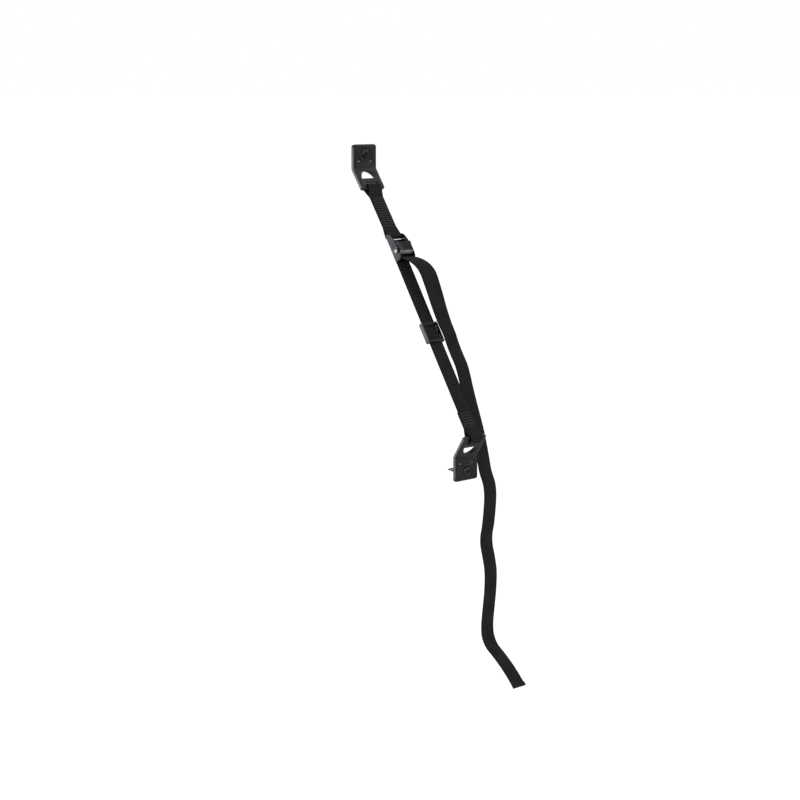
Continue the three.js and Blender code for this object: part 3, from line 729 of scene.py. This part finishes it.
class TIPSTRAP_OT_buckle(bpy.types.Operator):
    """The pressed buckle frame, its cam lever and its spring."""
    bl_idname = "tipstrap.buckle"
    bl_label = "Cam buckle"

    def execute(self, context):
        settings = context.scene.tip_metal
        nickel = plated_steel("Black nickel plate", settings.buckle, 0.3, (2500, 500, 300))
        body = dressed("buckle_frame", "buckle_frame_plated", 0)
        only(body)
        pick(body, of_face=lambda face: abs(face.normal.x) > 0.99
             and abs(face.center.x) > CHEEK_INNER * MM)
        bpy.ops.mesh.inset(thickness=0.9 * MM, depth=-0.3 * MM, use_boundary=True)
        bpy.ops.object.mode_set(mode="OBJECT")
        modifier(body, "BEVEL", width=0.18 * MM, segments=2, limit_method="ANGLE",
                 angle_limit=math.radians(50))
        bpy.ops.object.shade_smooth_by_angle(angle=math.radians(40))
        finished(body, nickel, "strap", "buckle_steel", "buckle_frame")
        # Painted shade: the recessed faces in the cheeks' hollows get a darker copy of the nickel colour,
        # standing in for shade there
        shade = tuple(0.4 * c for c in settings.buckle[:3]) + (1.0,)
        hollow = plated_steel("Black nickel, painted shade in the hollow", shade, 0.4, (2500, 500, 300))
        repaint(body, hollow, lambda face: abs(face.normal.x) > 0.99
                and HOLLOW_FROM * MM < abs(face.center.x) < HOLLOW_TO * MM)
        lever = dressed("cam_lever", "cam_lever_plated", 0)
        only(lever)
        start = place(PIN_AT, 0)
        pick(lever, of_face=lambda face: face.normal.dot(WEB_OUT) > 0.9
             and (face.center - start).dot(WEB_DOWN) < 0 and (face.center - start).dot(WEB_OUT) > 11 * MM)
        bpy.ops.mesh.inset(thickness=1.2 * MM, depth=-0.25 * MM, use_boundary=True)
        bpy.ops.object.mode_set(mode="OBJECT")
        modifier(lever, "BEVEL", width=0.15 * MM, segments=2, limit_method="ANGLE",
                 angle_limit=math.radians(50))
        bpy.ops.object.shade_smooth_by_angle(angle=math.radians(40))
        finished(lever, nickel, "lever", "buckle_steel", "cam_lever")
        # Painted highlight: the outward faces of the lever's lip, below the pin, get a light metal colour
        # that stands in for a glint
        worn_and_painted_highlight = plated_steel("Steel with a painted highlight", settings.rubbed_and_painted_highlight, 0.32, (900, 900, 900))
        repaint(lever, worn_and_painted_highlight, lambda face: face.normal.dot(WEB_OUT) > 0.6
                and (face.center - start).dot(WEB_DOWN) > 1.8 * MM)
        wire = plated_steel("Bare music wire", settings.wire, 0.28, (900, 900, 900))
        spring = dressed("cam_spring", "cam_spring_wire", 0, 65)
        finished(spring, wire, "strap", "spring_steel", "cam_spring")
        return {"FINISHED"}


class TIPSTRAP_OT_slide(bpy.types.Operator):
    """The moulded ladder slide on the taut web."""
    bl_idname = "tipstrap.slide"
    bl_label = "Web slide"

    def execute(self, context):
        settings = context.scene.tip_metal
        piece = dressed("web_slide", "web_slide_moulded", 0.2 * MM)
        finished(piece, moulded_acetal(settings), "slide", "black_plastic", "web_slide")
        return {"FINISHED"}


class TIPSTRAP_PT_panel(bpy.types.Panel):
    """Lists the pieces and their settings."""
    bl_idname = "TIPSTRAP_PT_panel"
    bl_label = "Anti tip strap"
    bl_space_type = "VIEW_3D"
    bl_region_type = "UI"
    bl_category = "Tip strap"

    def draw(self, context):
        for operator in OPERATORS:
            self.layout.operator(operator.bl_idname)
        for settings in (context.scene.tip_webbing, context.scene.tip_metal, context.scene.tip_stage):
            box = self.layout.box()
            for key in settings.__annotations__:
                box.prop(settings, key)


OPERATORS = (
    TIPSTRAP_OT_stage,
    TIPSTRAP_OT_tail,
    TIPSTRAP_OT_anchor_webbing,
    TIPSTRAP_OT_main_webbing,
    TIPSTRAP_OT_stitching,
    TIPSTRAP_OT_brackets,
    TIPSTRAP_OT_screws,
    TIPSTRAP_OT_buckle,
    TIPSTRAP_OT_slide,
)
CLASSES = (WebbingSettings, MetalSettings, StageSettings, *OPERATORS, TIPSTRAP_PT_panel)


def register():
    for each in CLASSES:
        bpy.utils.register_class(each)
    bpy.types.Scene.tip_webbing = PointerProperty(type=WebbingSettings)
    bpy.types.Scene.tip_metal = PointerProperty(type=MetalSettings)
    bpy.types.Scene.tip_stage = PointerProperty(type=StageSettings)


def unregister():
    del bpy.types.Scene.tip_stage
    del bpy.types.Scene.tip_metal
    del bpy.types.Scene.tip_webbing
    for each in reversed(CLASSES):
        bpy.utils.unregister_class(each)


def main():
    """Builds everything in order."""
    register()
    bpy.ops.tipstrap.stage()
    bpy.ops.tipstrap.tail()
    bpy.ops.tipstrap.anchor_webbing()
    bpy.ops.tipstrap.main_webbing()
    bpy.ops.tipstrap.stitching()
    bpy.ops.tipstrap.brackets()
    bpy.ops.tipstrap.screws()
    bpy.ops.tipstrap.buckle()
    bpy.ops.tipstrap.slide()


if __name__ == "__main__":
    main()
